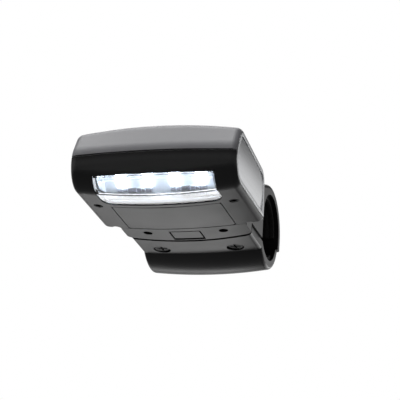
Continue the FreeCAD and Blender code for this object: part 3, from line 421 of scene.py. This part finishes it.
shape = bmesh.new()
for pair in screwPairs:
    x, y, z = pair["atMm"]
    for side in (-1, 1):
        addScrew(shape, Vector((side * x, y, z)) * mm, pair["length"])
bmesh.ops.remove_doubles(shape, verts=shape.verts, dist=weld)
bmesh.ops.recalc_face_normals(shape, faces=shape.faces)
makePiece(shape, "socketScrews", [oxideSteel], "lamp_head", ["housing_screws"])
print("housing screws done")

# Battery springs: conical coils of wire between each cell's flat end, its tail, and its contact plate
springLook = {"wire": 0.35 * mm, "wide": 3.2 * mm, "narrow": 1.7 * mm, "turns": 4, "stepsPerTurn": 20,
              "wireSides": 8, "plate": 0.5 * mm}
plateLow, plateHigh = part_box("battery_contacts")
shape = bmesh.new()
for cell, tail in (("battery_cell_1", 1), ("battery_cell_2", -1), ("battery_cell_3", 1)):
    low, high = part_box(cell)
    middle = (low + high) / 2
    plateX = plateHigh.x - springLook["plate"] if tail > 0 else plateLow.x + springLook["plate"]
    cellX = high.x if tail > 0 else low.x
    start = plateX - tail * springLook["wire"]
    travel = cellX + tail * springLook["wire"] - start
    steps = springLook["turns"] * springLook["stepsPerTurn"]
    axle = Vector((start, middle.y, middle.z))
    firstTurn = Matrix.Translation(axle + Vector((0, springLook["wide"], 0)))
    ring = bmesh.ops.create_circle(shape, segments=springLook["wireSides"], radius=springLook["wire"],
                                   matrix=firstTurn)["verts"]  # stands across the run of the wire
    edges = list({edge for vert in ring for edge in vert.link_edges})
    before = set(shape.verts) - set(ring)
    bmesh.ops.spin(shape, geom=ring + edges, cent=axle, axis=(1, 0, 0), dvec=(travel / steps, 0, 0),
                   angle=2 * math.pi * springLook["turns"], steps=steps)
    for vert in set(shape.verts) - before:
        share = min(max((vert.co.x - start) / travel, 0), 1)
        across = vert.co - axle
        across.x = 0
        narrowing = (springLook["wide"] - springLook["narrow"]) * share
        vert.co -= across.normalized() * narrowing
bmesh.ops.holes_fill(shape, edges=[edge for edge in shape.edges if edge.is_boundary], sides=0)
bmesh.ops.recalc_face_normals(shape, faces=shape.faces)
makePiece(shape, "coilSprings", [nickelSteel], "lamp_head", ["battery_springs"])
print("battery springs done")

# Tray apron: a stepped bright strip that closes the gap from the tray's foot down to the lens
apronLook = {"half": 29.6 * mm, "wall": 0.35 * mm, "step": 0.5 * mm, "drop": 0.5 * mm, "steps": 3,
             "front": -92.45 * mm, "top": -15.05 * mm}
shape = bmesh.new()
edge = shape.edges.new([shape.verts.new((side * apronLook["half"], apronLook["front"], apronLook["top"]))
                        for side in (-1, 1)])
for step in range(apronLook["steps"]):
    for move in ((0, 0, -apronLook["drop"]), (0, apronLook["step"], 0)):
        grown = bmesh.ops.extrude_edge_only(shape, edges=[edge])["geom"]
        bmesh.ops.translate(shape, verts=pick(grown, bmesh.types.BMVert), vec=move)
        edge = pick(grown, bmesh.types.BMEdge)[0]
bmesh.ops.recalc_face_normals(shape, faces=shape.faces)
bmesh.ops.solidify(shape, geom=shape.faces[:], thickness=apronLook["wall"])
bmesh.ops.recalc_face_normals(shape, faces=shape.faces)
makePiece(shape, "trayApron", [mirrorTray], "lamp_head")
print("tray apron done")

# Tray rim: a bright flange behind each end of the lens, which hides the dark inside of the housing
rimLook = {"start": 30.9 * mm, "gap": 0.08 * mm, "wall": 0.25 * mm, "bendDegrees": 25}
shape = mergedCopy("front_lens")
sharpBend = math.radians(rimLook["bendDegrees"])
inner = {max(shape.faces, key=lambda face: min(face.normal.y, face.normal.z) * face.calc_area())}
reached = list(inner)
while reached:  # spreads over the lens's inner side, as far as its sharp edges
    for edge in reached.pop().edges:
        for face in edge.link_faces:
            if face not in inner and edge.calc_face_angle() < sharpBend:
                inner.add(face)
                reached.append(face)
bmesh.ops.delete(shape, geom=[face for face in shape.faces if face not in inner], context="FACES")
for side in (-1, 1):
    bmesh.ops.bisect_plane(shape, geom=[*shape.verts, *shape.edges, *shape.faces], dist=weld,
                           plane_co=(side * rimLook["start"], 0, 0), plane_no=(1, 0, 0))
bmesh.ops.delete(shape, geom=[face for face in shape.faces
                              if abs(face.calc_center_median().x) < rimLook["start"]], context="FACES")
shape.normal_update()
for vert in shape.verts:
    vert.co += vert.normal * rimLook["gap"]
grown = bmesh.ops.extrude_face_region(shape, geom=shape.faces[:])["geom"]
shape.normal_update()
for vert in pick(grown, bmesh.types.BMVert):
    vert.co += vert.normal * rimLook["wall"]
bmesh.ops.recalc_face_normals(shape, faces=shape.faces)
makePiece(shape, "trayRim", [litRim], "lamp_head")
print("tray rim done")

# LED drivers: two strips of small parts on the tray's back wall, below the LEDs.
# Each part has its place along the strip, its width, height and thickness in mm, and metal end caps.
driverLook = {"wall": 1.0 * mm, "sides": (-14.0 * mm, 14.0 * mm), "rise": -4.9 * mm, "edge": 0.12 * mm,
              "strip": (19.0 * mm, 3.9 * mm, 0.5 * mm), "capShare": 0.18,
              "parts": ((-7.8, 2.4, 2.8, 1.0), (-5.0, 2.0, 2.2, 0.8), (-1.2, 4.2, 3.6, 1.4),
                        (2.4, 2.0, 2.6, 0.8), (4.6, 1.6, 2.0, 0.6), (7.4, 2.6, 3.2, 1.2))}


def addBlock(shape, centre, size, slotIndex):
    place = Matrix.Translation(centre) @ Matrix.Diagonal((*size, 1))
    made = bmesh.ops.create_cube(shape, size=1, matrix=place)
    faces = {face for vert in made["verts"] for face in vert.link_faces}
    edges = {edge for face in faces for edge in face.edges}
    for face in faces:
        face.material_index = slotIndex
    bmesh.ops.bevel(shape, geom=list(edges), offset=driverLook["edge"], offset_type="OFFSET", affect="EDGES",
                    segments=2, profile=0.5, material=-1)


shape = bmesh.new()
stripThick = driverLook["strip"][2]
for side in driverLook["sides"]:
    addBlock(shape, (side, driverLook["rise"], driverLook["wall"] + stripThick / 2), driverLook["strip"], 0)
    for across, wide, tall, thick in driverLook["parts"]:
        seat = driverLook["wall"] + stripThick + thick * mm / 2
        middle = Vector((side + across * mm, driverLook["rise"], seat))
        capTall = tall * driverLook["capShare"] * mm
        addBlock(shape, middle, (wide * mm, tall * mm - 2 * capTall, thick * mm), 1)
        for end in (-1, 1):
            offset = Vector((0, end * (tall * mm - capTall) / 2, 0))
            addBlock(shape, middle + offset, (wide * mm, capTall, thick * mm), 2)
wallAxes = Matrix(((1, 0, 0), trayWall["up"], trayWall["facing"])).transposed()
wallPlace = wallAxes.to_4x4()
wallPlace.translation = Vector(trayWall["middleMm"]) * mm
bmesh.ops.transform(shape, matrix=wallPlace, verts=shape.verts)
bmesh.ops.recalc_face_normals(shape, faces=shape.faces)
makePiece(shape, "ledDrivers", [whiteMask, grayEpoxy, nickelSteel], "lamp_head")
print("led drivers done")

# Clamp pads: half rings of rubber with grip grooves that run round the bore.
# Near and endFacing pick the faces of the bore.
padLook = {"inner": 16.0 * mm, "outer": 18.0 * mm, "half": 31.2 * mm, "strips": 41, "grooveDepth": 0.6 * mm,
           "grooveDraft": 0.15 * mm, "degreesPerStep": 3.0, "near": 0.1 * mm, "endFacing": 0.5,
           "saddleDegrees": (0, 180), "jawDegrees": (204.5, 312.9)}


def groovedPad(name, body, node, reach):
    startDegrees, endDegrees = reach
    shape = bmesh.new()
    start = Matrix.Rotation(math.radians(startDegrees), 3, "X")
    corners = [(-padLook["half"], padLook["inner"]), (padLook["half"], padLook["inner"]),
               (padLook["half"], padLook["outer"]), (-padLook["half"], padLook["outer"])]
    loop = [shape.verts.new(start @ Vector((x, radius, 0))) for x, radius in corners]
    edges = [shape.edges.new((loop[i], loop[(i + 1) % len(loop)])) for i in range(len(loop))]
    bmesh.ops.subdivide_edges(shape, edges=edges[:1], cuts=padLook["strips"] - 1)
    sweep = endDegrees - startDegrees
    bmesh.ops.spin(shape, geom=shape.verts[:] + shape.edges[:], cent=(0, 0, 0), axis=(1, 0, 0),
                   angle=math.radians(sweep), steps=round(sweep / padLook["degreesPerStep"]))
    bmesh.ops.holes_fill(shape, edges=[edge for edge in shape.edges if edge.is_boundary], sides=0)
    bmesh.ops.recalc_face_normals(shape, faces=shape.faces)
    strip = 2 * padLook["half"] / padLook["strips"]
    grooves = []
    for face in shape.faces:
        middle = face.calc_center_median()
        inBore = abs(middle.yz.length - padLook["inner"]) < padLook["near"]
        atEnd = abs(face.normal.x) >= padLook["endFacing"]
        if inBore and not atEnd and int((middle.x + padLook["half"]) / strip) % 2 == 1:  # every other strip
            grooves.append(face)
    bmesh.ops.inset_region(shape, faces=grooves, thickness=padLook["grooveDraft"],
                           depth=-padLook["grooveDepth"], use_even_offset=True)
    makePiece(shape, name, [mouldedRubber], body, [node])


groovedPad("groovedSaddlePad", "lamp_head", "saddle_pad", padLook["saddleDegrees"])
groovedPad("groovedJawPad", "jaw", "jaw_pad", padLook["jawDegrees"])
print("clamp pads done")

# Floor below the lamp, seen through from underneath so that low views stay open
floorLook = {"height": -0.32, "half": 3.0, "colour": "#a0a0a0", "near": 0.56, "far": 0.95, "fadeFrom": 0.5,
             "fadeTo": 2.2, "gloss": 0.04}
shape = bmesh.new()
bmesh.ops.create_grid(shape, x_segments=1, y_segments=1, size=floorLook["half"])
bmesh.ops.translate(shape, verts=shape.verts, vec=(0, 0, floorLook["height"]))
mesh = bpy.data.meshes.new("floor")
shape.to_mesh(mesh)
shape.free()
floor = bpy.data.objects.new("floor", mesh)
bpy.context.scene.collection.objects.link(floor)
floorPaint = freshMaterial("paleFloor")
facing = addNode(floorPaint, "ShaderNodeNewGeometry")
path = addNode(floorPaint, "ShaderNodeLightPath")
diffuse = addNode(floorPaint, "ShaderNodeBsdfDiffuse", {}, {"Color": hexColour(floorLook["colour"])})
place = addNode(floorPaint, "ShaderNodeTexCoord")
reach = addNode(floorPaint, "ShaderNodeVectorMath", {"operation": "LENGTH"}, {}, {0: (place, "Object")})
# Lifted to white far off, less near the object so that its shadow stays, and a little in reflections
pale = addNode(floorPaint, "ShaderNodeMapRange", {},
               {"From Min": floorLook["fadeFrom"], "From Max": floorLook["fadeTo"],
                "To Min": floorLook["near"], "To Max": floorLook["far"]}, {"Value": (reach, "Value")})
sheen = addNode(floorPaint, "ShaderNodeMath", {"operation": "MULTIPLY"}, {1: floorLook["gloss"]},
                {0: (path, "Is Glossy Ray")})
lift = addNode(floorPaint, "ShaderNodeMapRange", {}, {},
               {"Value": (path, "Is Camera Ray"), "To Min": (sheen, "Value"), "To Max": (pale, "Result")})
glow = addNode(floorPaint, "ShaderNodeEmission", {}, {}, {"Strength": (lift, "Result")})
paint = addNode(floorPaint, "ShaderNodeAddShader", {}, {}, {0: (diffuse, "BSDF"), 1: (glow, "Emission")})
clear = addNode(floorPaint, "ShaderNodeBsdfTransparent")
oneWay = addNode(floorPaint, "ShaderNodeMixShader", {}, {},
                 {"Fac": (facing, "Backfacing"), 1: (paint, "Shader"), 2: (clear, "BSDF")})
addNode(floorPaint, "ShaderNodeOutputMaterial", {}, {}, {"Surface": (oneWay, "Shader")})
floor.data.materials.append(floorPaint)

# World: soft light for diffuse surfaces, white for the eye and through the lens.
# Gloss sees a studio that is bright near the horizon and darker overhead.
worldLook = {"light": 0.18, "seen": 1.0, "horizon": 0.95, "overhead": 0.14, "fadeFrom": 0.3, "fadeTo": 0.41}
world = bpy.data.worlds.new("studio")
bpy.context.scene.world = world
world.use_nodes = True
world.node_tree.nodes.clear()
path = addNode(world, "ShaderNodeLightPath")
place = addNode(world, "ShaderNodeTexCoord")
axes = addNode(world, "ShaderNodeSeparateXYZ", {}, {}, {"Vector": (place, "Generated")})
fade = addNode(world, "ShaderNodeMapRange", {},
               {"From Min": worldLook["fadeFrom"], "From Max": worldLook["fadeTo"],
                "To Min": worldLook["horizon"], "To Max": worldLook["overhead"]}, {"Value": (axes, "Z")})
gloss = addNode(world, "ShaderNodeMapRange", {}, {"To Min": worldLook["light"]},
                {"Value": (path, "Is Glossy Ray"), "To Max": (fade, "Result")})
eye = addNode(world, "ShaderNodeMath", {"operation": "MAXIMUM"}, {},
              {0: (path, "Is Camera Ray"), 1: (path, "Is Transmission Ray")})
level = addNode(world, "ShaderNodeMapRange", {}, {"To Max": worldLook["seen"]},
                {"Value": (eye, "Value"), "To Min": (gloss, "Result")})
sky = addNode(world, "ShaderNodeBackground", {}, {"Color": hexColour("#ffffff")},
              {"Strength": (level, "Result")})
addNode(world, "ShaderNodeOutputWorld", {}, {}, {"Surface": (sky, "Background")})

# Soft studio lamps: the main one overhead, two that soften it, and three low ones behind that only add
# sheen to the underside and the ends
lamps = {
    "keyLamp": {"at": (-0.3, -0.1, 1.1), "wide": 0.7, "tall": 0.7, "watts": 10.6, "diffuse": True},
    "fillLamp": {"at": (-0.9, -0.8, 0.3), "wide": 0.8, "tall": 0.8, "watts": 1.2, "diffuse": True},
    "rimLamp": {"at": (-0.2, 0.8, 0.9), "wide": 0.6, "tall": 0.6, "watts": 2.6, "diffuse": True},
    "endLamp": {"at": (0.35, 0.95, -0.05), "wide": 0.35, "tall": 0.25, "watts": 0.8, "diffuse": False},
    "glanceLamp": {"at": (-0.12, 0.24, -0.15), "wide": 0.2, "tall": 0.08, "watts": 0.11, "diffuse": False},
    "edgeLamp": {"at": (0.11, 0.24, -0.11), "wide": 0.16, "tall": 0.08, "watts": 0.05, "diffuse": False},
}
lampAim = Vector((0, -0.06, 0))
for name, look in lamps.items():
    lamp = bpy.data.lights.new(name, "AREA")
    lamp.shape = "RECTANGLE"
    lamp.size = look["wide"]
    lamp.size_y = look["tall"]
    lamp.energy = look["watts"]
    holder = bpy.data.objects.new(name, lamp)
    holder.location = look["at"]
    holder.visible_camera = False
    holder.visible_diffuse = look["diffuse"]
    holder.rotation_euler = (lampAim - holder.location).to_track_quat("-Z", "Y").to_euler()
    bpy.context.scene.collection.objects.link(holder)

# Camera at the photograph's angle: below the lamp and to its right
cameraLook = {"azimuth": 16.08, "elevation": -20.28, "roll": 3.52, "distance": 1.1, "focalPixels": 2145.8,
              "imagePixels": 400, "aim": (0, -0.075, 0), "aimRight": 0.01339, "aimUp": -0.01004}
azimuth = math.radians(cameraLook["azimuth"])
elevation = math.radians(cameraLook["elevation"])
back = Vector((math.sin(azimuth) * math.cos(elevation), -math.cos(azimuth) * math.cos(elevation),
               math.sin(elevation)))
upright = (-back).to_track_quat("-Z", "Y").to_matrix()
rolled = upright @ Matrix.Rotation(math.radians(cameraLook["roll"]), 3, "Z")
aim = Vector(cameraLook["aim"]) + rolled.col[0] * cameraLook["aimRight"] + rolled.col[1] * cameraLook["aimUp"]
lens = bpy.data.cameras.new("camera")
lens.lens = cameraLook["focalPixels"] / cameraLook["imagePixels"] * lens.sensor_width
camera = bpy.data.objects.new("camera", lens)
camera.matrix_world = Matrix.Translation(aim + back * cameraLook["distance"]) @ rolled.to_4x4()
bpy.context.scene.collection.objects.link(camera)
bpy.context.scene.camera = camera
bpy.context.scene.view_settings.view_transform = "Standard"
print("stage done")
